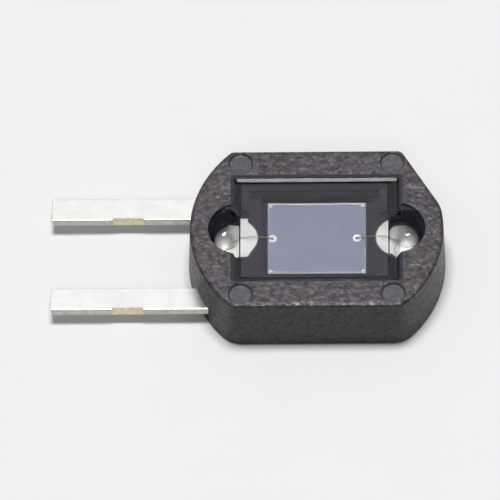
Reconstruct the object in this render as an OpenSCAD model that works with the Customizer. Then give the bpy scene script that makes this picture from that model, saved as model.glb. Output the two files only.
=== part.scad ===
// Photodiode in a low, round, black moulded housing with two flat leads on one side.
// A silicon chip lies in a cavity of the housing, potted in clear resin under a flat window.
// The origin is on the underside, at the middle of the round housing, with +Z up.
// The leads run along -X. Lengths are in millimetres and angles in degrees.

/* [Housing] */
// Diameter of the round housing at its upper rim
body_d = 5.93; // [5.7:0.01:6.5]
// Thickness of the wall between the window seat and each parallel side, at the upper rim
side_wall = 0.7; // [0.62:0.01:0.8]
// Draft of the outer walls, by which they stand further out at the foot
wall_draft = 0.045; // [0.01:0.005:0.08]
// Direction of the polarity flat, turned from +X toward +Y
index_angle = 30; // [26:1:34]
// Depth by which the polarity flat cuts below the upright corner at its +Y end
index_depth = 0.022; // [0.01:0.002:0.1]
// Radius of the soft junction between the polarity flat and the round wall
index_blend_r = 0.8; // [0.4:0.05:1.2]
// Radius of the upright corners
corner_r = 0.16; // [0.1:0.02:0.26]
// Bevel along the upper and lower rims
rim_bevel = 0.05; // [0.02:0.01:0.08]
// Diameter of the four ejector marks in the top face
mark_d = 0.58; // [0.4:0.02:0.6]
// Depth of the ejector marks
mark_depth = 0.07; // [0.02:0.01:0.15]
// Distance of the ejector marks from the ends of the parallel sides
mark_inset = 0.21; // [0.16:0.01:0.35]

/* [Window and seat] */
// Length of the window seat along X, at the top face
seat_l = 4; // [3.8:0.05:4.2]
// Width of the window seat along Y, at the top face
seat_w = 3; // [2.8:0.02:3.2]
// Bevel along the rim of the seat
seat_bevel = 0.06; // [0.02:0.01:0.09]
// Thickness of the window
window_t = 0.34; // [0.25:0.01:0.45]
// Depth of the upper face of the window below the top face
window_drop = 0.03; // [0.01:0.01:0.06]
// Clearance between the window and the seat on the -Y side
window_gap = 0.12; // [0.08:0.01:0.16]
// Clearance between the window and the seat on the +Y side
window_gap_rear = 0.26; // [0.14:0.01:0.3]
// Clearance between the window and the seat on the lead side
window_gap_near = 0.19; // [0.1:0.01:0.24]
// Clearance between the window and the seat on the far side
window_gap_far = 0.3; // [0.2:0.01:0.34]
// Width of the ledge that carries the -Y edge of the window
ledge_w = 0.21; // [0.17:0.01:0.23]
// Width of the ledge that carries the short edges of the window
ledge_end_w = 0.22; // [0.12:0.01:0.28]
// Radius of the two round pockets at the ends of the seat
pocket_r = 0.7; // [0.64:0.01:0.78]
// Distance of the pockets from the middle
pocket_x = 1.83; // [1.75:0.01:1.95]

/* [Lead frame] */
// Distance between the centre lines of the two leads
lead_pitch = 2.54; // [2.4:0.02:2.7]
// Width of a lead
lead_w = 0.62; // [0.5:0.01:0.68]
// Thickness of a lead
lead_t = 0.22; // [0.16:0.01:0.28]
// Height of the underside of the leads above the underside of the housing
lead_z = 0.3; // [0.2:0.01:0.4]
// Distance from the middle of the housing to the lead tips
lead_reach = 6.23; // [5.5:0.01:9]
// Distance from the middle of the housing to the tie-bar cuts in the -Y edges of the leads
cut_reach = 4.43; // [4:0.01:5]
// Length of a tie-bar cut
cut_l = 0.74; // [0.4:0.02:0.9]
// Depth of a tie-bar cut at the upper edge of a lead
cut_depth = 0.06; // [0.02:0.01:0.1]
// Radius of the round bond pads
pad_r = 0.55; // [0.46:0.01:0.6]
// Distance of the bond pads beyond the middle of their pockets
pad_shift = 0.08; // [0:0.01:0.12]
// Distance of the squared corner of the near bond pad from the middle of that pad, along X
pad_corner = 0.32; // [0.2:0.01:0.4]
// Height of the bond pads above the upper face of the chip
pad_rise = 0.07; // [0.02:0.01:0.12]
// Height by which the bond pads stand above the shelf around them
pad_proud = 0.04; // [0.02:0.01:0.06]
// Width of the risers between the leads and the bond pads
riser_w = 0.45; // [0.36:0.01:0.56]
// Distance of the risers from the middle of their bond pads, toward +X
riser_shift = 0.08; // [0:0.01:0.12]
// Slope of the risers
riser_angle = 50; // [46:1:56]
// Level stretch of a riser, from the inner edge of its lead to the start of the slope
riser_start = 0.21; // [0.14:0.01:0.26]

/* [Chip] */
// Thickness of the housing between the leads and the cavity floor
floor_web = 0.06; // [0.04:0.01:0.16]
// Thickness of the die-attach layer
attach_t = 0.02; // [0.01:0.005:0.04]
// Width of the die-attach layer that shows around the chip
attach_lip = 0.04; // [0.02:0.01:0.08]
// Length of the chip along X
chip_l = 2.29; // [2.1:0.01:2.4]
// Width of the chip along Y
chip_w = 2; // [1.8:0.01:2.1]
// Thickness of the chip
chip_t = 0.22; // [0.18:0.01:0.3]
// Clearance between the chip and the walls of its cavity
cavity_gap = 0.14; // [0.1:0.01:0.18]
// Room above the chip, up to the window
wire_room = 0.36; // [0.3:0.01:0.5]
// Thickness of the contact metal
film_t = 0.012; // [0.01:0.001:0.02]
// Width of the contact frame along the long edges of the chip
frame_w = 0.06; // [0.04:0.005:0.1]
// Width of the contact frame along the short edges of the chip
frame_end_w = 0.035; // [0.02:0.005:0.06]
// Diameter of the spots at the corners of the contact frame
spot_d = 0.1; // [0.08:0.005:0.12]
// Distance of the corner spots from the edges of the chip
spot_inset = 0.06; // [0.06:0.005:0.08]
// Diameter of the bond spots on the chip
bond_d = 0.21; // [0.16:0.01:0.26]
// Distance of the anode spot from the end of the chip
anode_inset = 0.2; // [0.18:0.01:0.3]

/* [Bond wires] */
// Diameter of the wires
wire_d = 0.03; // [0.02:0.002:0.036]
// Diameter of the ball at the chip end of a wire
ball_d = 0.085; // [0.06:0.005:0.12]
// Height of the ball
ball_h = 0.04; // [0.038:0.002:0.06]
// Length of the flattened foot at the pad end of a wire
foot_l = 0.11; // [0.06:0.01:0.16]
// Width of the flattened foot
foot_w = 0.06; // [0.04:0.005:0.09]
// Thickness of the flattened foot
foot_t = 0.024; // [0.02:0.002:0.03]
// Distance of the feet from the middle of their bond pads
foot_inset = 0.02; // [0:0.01:0.3]
// Rise of a wire above the line between its two ends
loop_rise = 0.1; // [0.06:0.01:0.2]

/* [Potting resin] */
// Depth of the resin below the top face, around the window
resin_drop = 0.09; // [0.07:0.01:0.14]
// Thickness of the resin over the bond pads, at the lowest point of a dish
dish_cover = 0.13; // [0.08:0.01:0.18]
// Reach of a dish into the pocket wall
dish_margin = 0.06; // [0.04:0.01:0.1]

/* [Hidden] */
$fn = 64;

// Levels, from the underside up
floor_z = lead_z + lead_t + floor_web;
chip_z = floor_z + attach_t;
chip_top = chip_z + chip_t;
film_top = chip_top + film_t;
pad_z = chip_top + pad_rise;
shelf_z = pad_z - pad_proud;
ledge_z = chip_top + wire_room;
window_top = ledge_z + window_t;
body_h = window_top + window_drop;
resin_z = body_h - resin_drop;

// Outline of the housing
body_r = body_d / 2;
side_y = seat_w / 2 + side_wall;
side_end = sqrt(body_r * body_r - side_y * side_y);
corner_y = side_y - corner_r;
corner_x = sqrt(pow(body_r - corner_r, 2) - pow(corner_y, 2));
index_x = corner_x - index_depth / cos(index_angle);
index_reach = corner_r + index_x * cos(index_angle) + corner_y * sin(index_angle);

// Window, the opening below it and the cavity around the chip
window_l = seat_l - window_gap_near - window_gap_far;
window_w = seat_w - window_gap - window_gap_rear;
window_x = (window_gap_near - window_gap_far) / 2;
window_y = (window_gap - window_gap_rear) / 2;
opening_l = window_l - 2 * ledge_end_w;
opening_w = seat_w - 2 * (window_gap + ledge_w);
cavity_l = chip_l + 2 * cavity_gap;
cavity_w = chip_w + 2 * cavity_gap;

// Leads, bond pads and bond spots
lead_y = lead_pitch / 2;
pad_x = pocket_x + pad_shift;
foot_x = pad_x - foot_inset;
cathode_x = -chip_l / 2 + bond_d / 2;
anode_x = chip_l / 2 - anode_inset;

// Reach of the cutting shapes past the faces that they cut
over = body_h;

// Reach of a round corner past the two walls that it joins, so that it meets each in a clean edge
corner_swell = corner_r / 80;

// Box centred on the Z axis, between two levels
module block(l, w, low, high) {
    translate([-l / 2, -w / 2, low])
        cube([l, w, high - low]);
}

// Section of the housing, from a line behind the axis out to a drafted wall with bevelled rims.
// The bevels run on by the given height above and below the housing.
function wall_section(reach, behind, beyond = 0) = [
    [-behind, -beyond],
    [reach + wall_draft - rim_bevel - beyond, -beyond],
    [reach + wall_draft, rim_bevel],
    [reach, body_h - rim_bevel],
    [reach - rim_bevel - beyond, body_h + beyond],
    [-behind, body_h + beyond]
];

// Half space with a drafted wall that faces the given direction
module flat_wall(angle, reach) {
    rotate([90, 0, angle])
        linear_extrude(2 * body_d, center = true)
            polygon(wall_section(reach, body_d));
}

// Waste outside an upright round corner, between the directions of the two walls that it joins
module corner_waste(centre, r, from, to) {
    middle = (from + to) / 2;
    far = r + over;
    translate(concat(centre, 0))
        difference() {
            translate([0, 0, -over / 2])
                linear_extrude(body_h + over)
                    polygon([
                        [0, 0],
                        far * [cos(from), sin(from)],
                        2 * far * [cos(middle), sin(middle)],
                        far * [cos(to), sin(to)]
                    ]);
            rotate_extrude()
                polygon(wall_section(r + corner_swell, 0, corner_swell));
        }
}

// Housing without its openings: a disc with two parallel sides and a polarity flat
module housing_outline() {
    turn = atan2(corner_y, corner_x);
    blend_reach = body_r - index_blend_r;
    blend_angle = index_angle - acos((index_reach - index_blend_r) / blend_reach);
    blend = blend_reach * [cos(blend_angle), sin(blend_angle)];
    difference() {
        intersection() {
            rotate_extrude()
                polygon(wall_section(body_r, 0));
            difference() {
                intersection() {
                    flat_wall(90, side_y);
                    flat_wall(-90, side_y);
                    flat_wall(index_angle, index_reach);
                }
                corner_waste([index_x, corner_y], corner_r, index_angle, 90);
            }
        }
        corner_waste([-corner_x, corner_y], corner_r, 90, 180 - turn);
        corner_waste([-corner_x, -corner_y], corner_r, 180 + turn, 270);
        corner_waste([corner_x, -corner_y], corner_r, -90, -turn);
        corner_waste(blend, index_blend_r, blend_angle, index_angle);
    }
}

// Section across the window seat, with the bevel along its rim
function seat_section(half) = [
    [-half + seat_bevel, ledge_z],
    [half - seat_bevel, ledge_z],
    [half - seat_bevel, body_h - seat_bevel],
    [half + over, body_h + over],
    [-half - over, body_h + over],
    [-half + seat_bevel, body_h - seat_bevel]
];

// Room for the window, mitred at its corners
module seat_room() {
    intersection() {
        rotate([90, 0, 0])
            linear_extrude(2 * body_d, center = true)
                polygon(seat_section(seat_l / 2));
        rotate([90, 0, 90])
            linear_extrude(2 * body_d, center = true)
                polygon(seat_section(seat_w / 2));
    }
}

// Room inside the housing: the window seat, the two pockets, the opening and the chip cavity
module inner_room() {
    seat_room();
    for (side = [-1, 1])
        translate([side * pocket_x, 0, shelf_z])
            cylinder(h = body_h - shelf_z + over, r = pocket_r);
    translate([window_x, 0, 0])
        block(opening_l, opening_w, shelf_z, ledge_z);
    block(cavity_l, cavity_w, floor_z, shelf_z);
}

// Round ejector marks near the four corners of the top face
module ejector_marks() {
    for (sx = [-1, 1], sy = [-1, 1])
        translate([sx * (side_end - mark_inset), sy * (seat_w / 2 + side_wall / 2), body_h - mark_depth])
            cylinder(h = mark_depth + over, d = mark_d);
}

// Slanted bite that the tie-bar cut leaves in one edge of a lead on the X axis, -1 for -Y or 1 for +Y
module tie_cut(edge) {
    slope = cut_depth / lead_t;
    top = lead_t + over;
    translate([-cut_reach + cut_l / 2, edge * lead_w / 2, lead_z])
        rotate([0, -90, 0])
            linear_extrude(cut_l)
                polygon([[0, 0], [top, -edge * slope * top], [top, edge * over], [0, edge * over]]);
}

// Lead on the +Y side: a straight strip, then a riser to a round bond pad at the given X
module lead(pad_at, cut_edge) {
    pad_low = pad_z - lead_t;
    riser_at = pad_at + riser_shift - riser_w / 2;
    start_y = lead_y - lead_w / 2 - riser_start;
    end_y = start_y - (pad_low - lead_z) / tan(riser_angle);
    outer_y = lead_y + lead_w / 2;
    lean = lead_t * tan(riser_angle / 2);
    translate([0, lead_y, 0])
        difference() {
            translate([-lead_reach, -lead_w / 2, lead_z])
                cube([lead_reach + riser_at + riser_w, lead_w, lead_t]);
            tie_cut(cut_edge);
        }
    translate([riser_at, 0, 0])
        rotate([90, 0, 90])
            linear_extrude(riser_w)
                polygon([
                    [outer_y, lead_z],
                    [start_y, lead_z],
                    [end_y, pad_low],
                    [0, pad_low],
                    [0, pad_z],
                    [end_y + lean, pad_z],
                    [start_y + lean, lead_z + lead_t],
                    [outer_y, lead_z + lead_t]
                ]);
    translate([pad_at, 0, pad_low])
        cylinder(h = lead_t, r = pad_r);
}

// Wire toward +X: a ball on the chip, an arc and a flattened foot on a bond pad
module bond_wire(ball_x) {
    ball = [ball_x, film_top + ball_h / 2];
    foot = [foot_x, pad_z + wire_d / 2];
    span = foot - ball;
    chord = norm(span);
    arc_r = (chord * chord / 4 + loop_rise * loop_rise) / (2 * loop_rise);
    up = [-span[1], span[0]] / chord;
    hub = (ball + foot) / 2 - up * (arc_r - loop_rise);
    foot_angle = atan2(foot[1] - hub[1], foot[0] - hub[0]);
    ball_angle = atan2(ball[1] - hub[1], ball[0] - hub[0]);
    translate([ball_x, 0, film_top])
        cylinder(h = ball_h, d = ball_d);
    translate([hub[0], 0, hub[1]])
        rotate([90, 0, 0])
            rotate([0, 0, foot_angle])
                rotate_extrude(angle = ball_angle - foot_angle)
                    translate([arc_r, 0])
                        circle(d = wire_d);
    translate([foot_x, 0, 0])
        block(foot_l, foot_w, pad_z, pad_z + foot_t);
}

// Round dish that the resin forms between one short edge of the window and its pocket wall
module resin_dish(side, window_edge) {
    pocket_end = pocket_x + pocket_r;
    dish_r = (pocket_end - window_edge) / 2 + dish_margin;
    translate([side * (pocket_end + window_edge) / 2, 0, pad_z + dish_cover + dish_r])
        sphere(dish_r);
}

// Black moulded housing, closed around the leads
module body() {
    color([0.14, 0.14, 0.15])
        difference() {
            housing_outline();
            inner_room();
            ejector_marks();
            cathode_lead();
            anode_lead();
        }
}

// Lead on the +Y side, with its bond pad in the near pocket, squared at one corner
module cathode_lead() {
    color([0.82, 0.82, 0.8]) {
        lead(-pad_x, -1);
        translate([-pad_x, 0, pad_z - lead_t])
            linear_extrude(lead_t)
                polygon([[0, 0], [pad_r, 0], [pad_corner, -pad_r], [0, -pad_r]]);
    }
}

// Lead on the -Y side, which runs on below the chip to its bond pad in the far pocket
module anode_lead() {
    color([0.82, 0.82, 0.8])
        mirror([0, 1, 0])
            lead(pad_x, 1);
}

// Adhesive layer between the chip and the cavity floor
module die_attach() {
    color([0.45, 0.43, 0.4])
        block(chip_l + 2 * attach_lip, chip_w + 2 * attach_lip, floor_z, chip_z);
}

// Silicon chip
module chip() {
    color([0.5, 0.54, 0.63])
        block(chip_l, chip_w, chip_z, chip_top);
}

// Contact metal along the edges of the chip, with a bond spot at the near end
module cathode_contact() {
    color([0.86, 0.88, 0.92])
        translate([0, 0, chip_top])
            linear_extrude(film_t)
                union() {
                    difference() {
                        square([chip_l, chip_w], center = true);
                        square([chip_l - 2 * frame_end_w, chip_w - 2 * frame_w], center = true);
                    }
                    for (sx = [-1, 1], sy = [-1, 1])
                        translate([sx * (chip_l / 2 - spot_inset), sy * (chip_w / 2 - spot_inset)])
                            circle(d = spot_d);
                    translate([cathode_x, 0])
                        circle(d = bond_d);
                }
}

// Contact metal of the light-sensitive area
module anode_contact() {
    color([0.86, 0.88, 0.92])
        translate([anode_x, 0, chip_top])
            cylinder(h = film_t, d = bond_d);
}

// Wire from the contact frame to the near bond pad
module cathode_wire() {
    color([0.75, 0.62, 0.3])
        mirror([1, 0, 0])
            bond_wire(-cathode_x);
}

// Wire from the anode spot to the far bond pad
module anode_wire() {
    color([0.75, 0.62, 0.3])
        bond_wire(anode_x);
}

// Clear resin around the chip and the wires, below and beside the window
module potting_resin() {
    color([0.85, 0.85, 0.82, 0.4])
        difference() {
            intersection() {
                inner_room();
                block(body_d, body_d, 0, resin_z);
            }
            resin_dish(-1, seat_l / 2 - window_gap_near);
            resin_dish(1, seat_l / 2 - window_gap_far);
            window_glass();
            cathode_lead();
            anode_lead();
            die_attach();
            chip();
            cathode_contact();
            anode_contact();
            cathode_wire();
            anode_wire();
        }
}

// Flat window that rests on the ledge of its seat
module window_glass() {
    color([0.8, 0.88, 0.9, 0.35])
        translate([window_x, window_y, 0])
            block(window_l, window_w, ledge_z, window_top);
}

body();
cathode_lead();
anode_lead();
die_attach();
chip();
cathode_contact();
anode_contact();
cathode_wire();
anode_wire();
potting_resin();
window_glass();
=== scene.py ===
"""Looks of a small round photodiode: grained housing, plated leads, potted chip and clear window.

Sizes are written in millimetres. A mesh is built at one unit per millimetre and brought to metres
when its piece is finished.
"""

import logging
import math
from dataclasses import dataclass
from enum import Enum
from typing import Callable, Iterable, Optional, Sequence

import bmesh
import bpy
import numpy as np
from mathutils import Matrix, Vector


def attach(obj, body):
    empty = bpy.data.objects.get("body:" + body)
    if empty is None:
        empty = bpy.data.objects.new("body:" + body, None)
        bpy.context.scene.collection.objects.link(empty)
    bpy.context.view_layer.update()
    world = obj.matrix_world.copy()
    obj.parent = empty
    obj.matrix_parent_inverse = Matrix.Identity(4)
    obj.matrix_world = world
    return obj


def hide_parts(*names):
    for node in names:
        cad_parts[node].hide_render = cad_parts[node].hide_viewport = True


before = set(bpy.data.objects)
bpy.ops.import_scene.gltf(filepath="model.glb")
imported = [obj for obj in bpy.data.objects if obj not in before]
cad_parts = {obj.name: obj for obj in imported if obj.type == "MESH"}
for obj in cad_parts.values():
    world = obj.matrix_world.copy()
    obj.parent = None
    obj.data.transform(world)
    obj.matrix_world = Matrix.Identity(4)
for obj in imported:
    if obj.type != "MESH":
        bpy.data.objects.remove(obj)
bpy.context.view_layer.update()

LOG = logging.getLogger("photodiode")
MM = 0.001
MIDDLE = (0.0, 0.0)
ROUND = 96
FACING = 0.9
HALF_WAY = 0.5

Spot = tuple[float, float]
Point = tuple[float, float, float]
Colour = tuple[float, float, float]
Steps = tuple[Spot, ...]
Solid = bmesh.types.BMesh
Piece = bpy.types.Object
Socket = bpy.types.NodeSocket
Sockets = bpy.types.bpy_prop_collection
Tree = bpy.types.NodeTree


class Join(Enum):
    """How one solid is combined with another."""

    CUT = "DIFFERENCE"
    ADD = "UNION"


class Side(Enum):
    """Side of the X axis that a lead runs on."""

    CATHODE = 1
    ANODE = -1


class Ray(Enum):
    """Light path outputs that should meet the plain backdrop."""

    CAMERA = "Is Camera Ray"
    GLOSSY = "Is Glossy Ray"
    TRANSMISSION = "Is Transmission Ray"


# ---------------------------------------------------------------------------------------------
# Mesh making
# ---------------------------------------------------------------------------------------------


def ring(points: Iterable[Spot], level: float) -> list[Point]:
    """Flat outline at one level, as points in space."""
    return [(x, y, level) for x, y in points]


def circle(radius: float, centre: Spot, count: int) -> list[Spot]:
    """Points on a circle, counter-clockwise."""
    turns = [i * (2 * math.pi / count) for i in range(count)]
    return [(centre[0] + radius * math.cos(a), centre[1] + radius * math.sin(a)) for a in turns]


def arc(centre: Spot, radius: float, start: float, end: float, chords: int) -> list[Spot]:
    """Points on an arc, with both ends; its directions are in degrees."""
    turns = [math.radians(start + (end - start) * i / chords) for i in range(chords + 1)]
    return [(centre[0] + radius * math.cos(a), centre[1] + radius * math.sin(a)) for a in turns]


def rounded_rectangle(
    size: Spot, radius: float, centre: Spot = MIDDLE, chords: int = 4
) -> list[Spot]:
    """Points of a rectangle with round corners, counter-clockwise.

    Args:
        size: lengths along the two axes.
        radius: corner radius.
        centre: middle of the rectangle.
        chords: chords in each corner.

    Returns:
        The outline's points.
    """
    x, y = size[0] / 2 - radius, size[1] / 2 - radius
    out: list[Spot] = []
    for sx, sy, start in ((1, 1, 0), (-1, 1, 90), (-1, -1, 180), (1, -1, 270)):
        out += arc((centre[0] + sx * x, centre[1] + sy * y), radius, start, start + 90, chords)
    return out


def lofted(rings: Sequence[Sequence[Point]]) -> Solid:
    """Closed solid through rings of equally many points.

    Args:
        rings: outlines from one end of the solid to the other.

    Returns:
        A new mesh with outward faces.
    """
    bm = bmesh.new()
    loops = [[bm.verts.new(p) for p in points] for points in rings]
    for low, high in zip(loops, loops[1:]):
        for i in range(len(low)):
            j = (i + 1) % len(low)
            bm.faces.new((low[i], low[j], high[j], high[i]))
    bm.faces.new(tuple(reversed(loops[0])))
    bm.faces.new(tuple(loops[-1]))
    bmesh.ops.recalc_face_normals(bm, faces=bm.faces)
    return bm


def box_rings(
    size: Spot, steps: Iterable[Spot], radius: float, centre: Spot = MIDDLE, chords: int = 4
) -> list[list[Point]]:
    """Rounded rectangles above each other.

    Args:
        size: lengths along the two axes.
        steps: how far each rectangle is grown, and its level.
        radius: corner radius, which grows with the rectangle.
        centre: middle of the rectangles.
        chords: chords in each corner.

    Returns:
        The rings of a solid.
    """
    rings = []
    for grow, level in steps:
        grown = (size[0] + 2 * grow, size[1] + 2 * grow)
        rings.append(ring(rounded_rectangle(grown, radius + max(0.0, grow), centre, chords), level))
    return rings


def turned(steps: Iterable[Spot], centre: Spot, count: int = ROUND) -> Solid:
    """Round solid through circles, each given by its radius and level."""
    return lofted([ring(circle(radius, centre, count), level) for radius, level in steps])


def prism(
    outline: Sequence[Spot], place: Callable[[Spot, float], Point], low: float, high: float
) -> Solid:
    """Straight solid between two copies of an outline, which place() puts in space."""
    return lofted([[place(p, low) for p in outline], [place(p, high) for p in outline]])


def as_object(name: str, bm: Solid, finish: Optional["Finish"] = None) -> Piece:
    """Puts a mesh into the scene.

    Args:
        name: name of the object.
        bm: its mesh, which is used up.
        finish: finish of all its faces.

    Returns:
        The new object.
    """
    mesh = bpy.data.meshes.new(name)
    bm.to_mesh(mesh)
    bm.free()
    if finish is not None:
        mesh.materials.append(finish.material())
    obj = bpy.data.objects.new(name, mesh)
    bpy.context.scene.collection.objects.link(obj)
    return obj


def bake(obj: Piece) -> Piece:
    """Turns the result of an object's modifiers into its own plain mesh.

    Args:
        obj: object with modifiers.

    Returns:
        The same object.
    """
    graph = bpy.context.evaluated_depsgraph_get()
    made = bpy.data.meshes.new_from_object(obj.evaluated_get(graph))
    old = obj.data
    obj.modifiers.clear()
    obj.data = made
    bpy.data.meshes.remove(old)
    return obj


def grow(obj: Piece, tree: Tree, values: dict[str, object]) -> Piece:
    """Runs geometry nodes on an object and bakes what they make.

    Args:
        obj: object that the nodes start from.
        tree: the nodes.
        values: their inputs by name.

    Returns:
        The same object.
    """
    step = obj.modifiers.new("nodes", "NODES")
    step.node_group = tree
    for item in tree.interface.items_tree:
        if item.in_out == "INPUT" and item.name in values:
            step[item.identifier] = values[item.name]
    return bake(obj)


def combine(target: Piece, tool: Piece, join: Join, fast: bool = False) -> None:
    """Changes one solid by another, which is used up and leaves its finish on the faces it makes.

    Args:
        target: solid that stays.
        tool: solid that is removed afterwards.
        join: kind of combination.
        fast: whether the quick solver for large closed meshes is used.
    """
    step = target.modifiers.new("join", "BOOLEAN")
    step.object = tool
    step.operation = join.value
    step.solver = "MANIFOLD" if fast else "EXACT"
    if not fast:
        step.material_mode = "TRANSFER"
    bake(target)
    data = tool.data
    bpy.data.objects.remove(tool)
    bpy.data.meshes.remove(data)


def even_normals(obj: Piece, sharp_above: float = 32.0, weighted: bool = True) -> None:
    """Smooth shading with crisp edges.

    Args:
        obj: piece to shade.
        sharp_above: edges that turn by more than this many degrees stay crisp.
        weighted: whether large faces stay flat; a curved surface is shaded without it.
    """
    obj.data.shade_smooth()
    obj.data.set_sharp_from_angle(angle=math.radians(sharp_above))
    if weighted:
        step = obj.modifiers.new("even", "WEIGHTED_NORMAL")
        step.keep_sharp = True
        step.weight = 100
        bake(obj)


def repaint(obj: Piece, finish: "Finish", where: Callable[[Vector, Vector], bool]) -> None:
    """Gives some faces of a piece another finish.

    Args:
        obj: piece to paint.
        finish: finish that they get.
        where: tells by a face's middle and normal whether it is one of them.
    """
    number = len(obj.data.materials)
    obj.data.materials.append(finish.material())
    for face in obj.data.polygons:
        if where(face.center, face.normal):
            face.material_index = number


def paint(obj: Piece, finish: "Finish") -> None:
    """Gives all faces of a piece one finish, the only one that it keeps."""
    obj.data.materials.clear()
    repaint(obj, finish, lambda at, normal: True)


def hand_over(obj: Piece, node: str) -> None:
    """Brings a finished piece to metres and puts it in the place of its CAD node.

    Args:
        obj: the finished piece, in millimetres.
        node: CAD node that the piece stands for.
    """
    obj.data.transform(Matrix.Scale(MM, 4))
    obj.data.update()
    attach(obj, "root")
    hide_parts(node)
    LOG.info("%s: %d faces", obj.name, len(obj.data.polygons))


# ---------------------------------------------------------------------------------------------
# Finishes
# ---------------------------------------------------------------------------------------------


class NodeSheet:
    """Lays out the nodes of a material, a world or a group."""

    COLUMNS = 8
    SPACING = (180, -220)
    MIX_INPUTS = (0, 6, 7)
    MIX_OUTPUT = 2

    def __init__(self, tree: Tree) -> None:
        """Takes over an empty node tree."""
        self.tree = tree
        self.count = 0

    @classmethod
    def group(
        cls, name: str, kind: str, inputs: dict[str, str], outputs: dict[str, str]
    ) -> tuple["NodeSheet", Sockets]:
        """Starts a node group.

        Args:
            name: name of the group.
            kind: type of its tree.
            inputs: types of its inputs by name, without the words that all socket types start with.
            outputs: types of its outputs by name.

        Returns:
            The group's sheet and what its input node gives out.
        """
        tree = bpy.data.node_groups.new(name, kind)
        for way, sockets in (("INPUT", inputs), ("OUTPUT", outputs)):
            for title, socket in sockets.items():
                tree.interface.new_socket(title, in_out=way, socket_type=f"NodeSocket{socket}")
        sheet = cls(tree)
        return sheet, sheet.add("NodeGroupInput").outputs

    def feed(self, source: object, end: Socket) -> None:
        """Links an output to an input, or sets the input to a value.

        Args:
            source: output socket, or a value; a colour is given without its alpha.
            end: the input.
        """
        if isinstance(source, bpy.types.NodeSocket):
            self.tree.links.new(source, end)
        else:
            end.default_value = (*source, 1.0) if end.type == "RGBA" else source

    def add(self, kind: str, *sources: object, **values: object) -> bpy.types.Node:
        """Adds a node.

        Args:
            kind: type name of the node.
            sources: what feeds its first inputs, in order.
            values: its properties, or what feeds its inputs by name, with underscores for spaces.

        Returns:
            The node.
        """
        node = self.tree.nodes.new(kind)
        row, column = divmod(self.count, self.COLUMNS)
        node.location = (self.SPACING[0] * column, self.SPACING[1] * row)
        self.count += 1
        for key, value in values.items():
            name = key.replace("_", " ")
            if name in node.inputs:
                self.feed(value, node.inputs[name])
            else:
                setattr(node, key, value)
        for source, end in zip(sources, node.inputs):
            self.feed(source, end)
        return node

    def mix(self, mask: object, low: object, high: object, kind: str = "MIX") -> Socket:
        """Blends two colours.

        Args:
            mask: share of the second colour.
            low: first colour, or the output that gives it.
            high: second colour, or the output that gives it.
            kind: way of blending.

        Returns:
            The output with the blend.
        """
        node = self.add("ShaderNodeMix", data_type="RGBA", blend_type=kind)
        for index, source in zip(self.MIX_INPUTS, (mask, low, high)):
            self.feed(source, node.inputs[index])
        return node.outputs[self.MIX_OUTPUT]

    def span(self, value: Socket, low: object, high: object, within: Spot = (0.0, 1.0)) -> Socket:
        """Value within one range brought to another, as an output."""
        ends = {"From_Min": within[0], "From_Max": within[1], "To_Min": low, "To_Max": high}
        return self.add("ShaderNodeMapRange", value, **ends).outputs["Result"]

    def math(self, operation: str, *sources: object) -> Socket:
        """Result of a calculation, as an output."""
        return self.add("ShaderNodeMath", *sources, operation=operation).outputs["Value"]

    def effect(self, tree: Tree, **values: float) -> Sockets:
        """Outputs of a shared effect that follows the object's own coordinates."""
        place = self.add("ShaderNodeTexCoord").outputs["Object"]
        return self.add("ShaderNodeGroup", node_tree=tree, Place=place, **values).outputs

    def relief(self, height: Socket, depth: float) -> Socket:
        """Normal of a relief with a depth in millimetres, as an output."""
        node = self.add("ShaderNodeBump", Strength=1.0, Distance=depth * MM, Height=height)
        return node.outputs["Normal"]

    def close(self, geometry: Socket, finish: Socket) -> Tree:
        """Ends geometry nodes.

        Args:
            geometry: what they made.
            finish: material that it gets.

        Returns:
            The finished tree.
        """
        real = self.add("GeometryNodeRealizeInstances", geometry).outputs["Geometry"]
        dress = self.add("GeometryNodeSetMaterial", Geometry=real, Material=finish)
        self.add("NodeGroupOutput", Geometry=dress.outputs["Geometry"])
        return self.tree


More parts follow.
